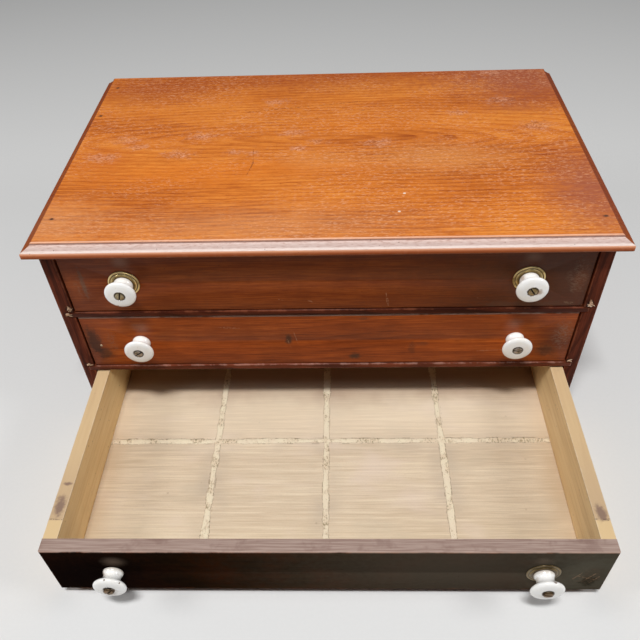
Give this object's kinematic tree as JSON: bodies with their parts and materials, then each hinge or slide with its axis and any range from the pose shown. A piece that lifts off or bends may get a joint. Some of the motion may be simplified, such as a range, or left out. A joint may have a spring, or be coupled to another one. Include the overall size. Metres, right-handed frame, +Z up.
{
  "type": "table-top chest of drawers",
  "caption": "Low wooden cabinet with a moulded top and shallow full-width drawers on wooden runners, each pulled by a pair of round ceramic knobs.",
  "frame": {"origin": "centre of the underside of the case", "axes": "+Z up, +X to the right as seen from the front, the drawers open towards -Y"},
  "size_m": [0.56, 0.5709, 0.266],
  "materials": {
    "top_mahogany": "worn satin polish",
    "case_mahogany": "worn satin polish",
    "front_mahogany": "worn satin polish",
    "drawer_side_pine": "bare, darkened with age",
    "drawer_bottom_pine": "bare, darkened with age",
    "carcass_pine": "bare, darkened with age",
    "white_ceramic": "glossy glaze",
    "old_brass": "dull, tarnished"
  },
  "bodies": {
    "case": {"back_panel": "carcass_pine", "bottom_board": "carcass_pine", "case_side_left": "case_mahogany", "case_side_right": "case_mahogany", "kicker_left": "carcass_pine", "kicker_right": "carcass_pine", "rail_1": "case_mahogany", "rail_2": "case_mahogany", "runner_1_left": "carcass_pine", "runner_1_right": "carcass_pine", "runner_2_left": "carcass_pine", "runner_2_right": "carcass_pine", "stop_1_left": "carcass_pine", "stop_1_right": "carcass_pine", "stop_2_left": "carcass_pine", "stop_2_right": "carcass_pine", "stop_3_left": "carcass_pine", "stop_3_right": "carcass_pine", "top_board": "top_mahogany", "top_rail": "case_mahogany"},
    "drawer_1": {"drawer_1_back": "drawer_side_pine", "drawer_1_bottom": "drawer_bottom_pine", "drawer_1_front": "front_mahogany", "drawer_1_knobs": "white_ceramic", "drawer_1_plates": "old_brass", "drawer_1_screws": "old_brass", "drawer_1_side_left": "drawer_side_pine", "drawer_1_side_right": "drawer_side_pine"},
    "drawer_2": {"drawer_2_back": "drawer_side_pine", "drawer_2_bottom": "drawer_bottom_pine", "drawer_2_front": "front_mahogany", "drawer_2_knobs": "white_ceramic", "drawer_2_screws": "old_brass", "drawer_2_side_left": "drawer_side_pine", "drawer_2_side_right": "drawer_side_pine"},
    "drawer_3": {"drawer_3_back": "drawer_side_pine", "drawer_3_bottom": "drawer_bottom_pine", "drawer_3_front": "front_mahogany", "drawer_3_knobs": "white_ceramic", "drawer_3_plates": "old_brass", "drawer_3_screws": "old_brass", "drawer_3_side_left": "drawer_side_pine", "drawer_3_side_right": "drawer_side_pine"}
  },
  "joints": [
    {"name": "drawer_1_slide", "type": "slide", "parent": "case", "child": "drawer_1", "axis": [0, -1, 0], "range_m": [0, 0.27]},
    {"name": "drawer_2_slide", "type": "slide", "parent": "case", "child": "drawer_2", "axis": [0, -1, 0], "range_m": [0, 0.27]},
    {"name": "drawer_3_slide", "type": "slide", "parent": "case", "child": "drawer_3", "axis": [0, -1, 0], "range_m": [-0.215, 0.055]}
  ]
}
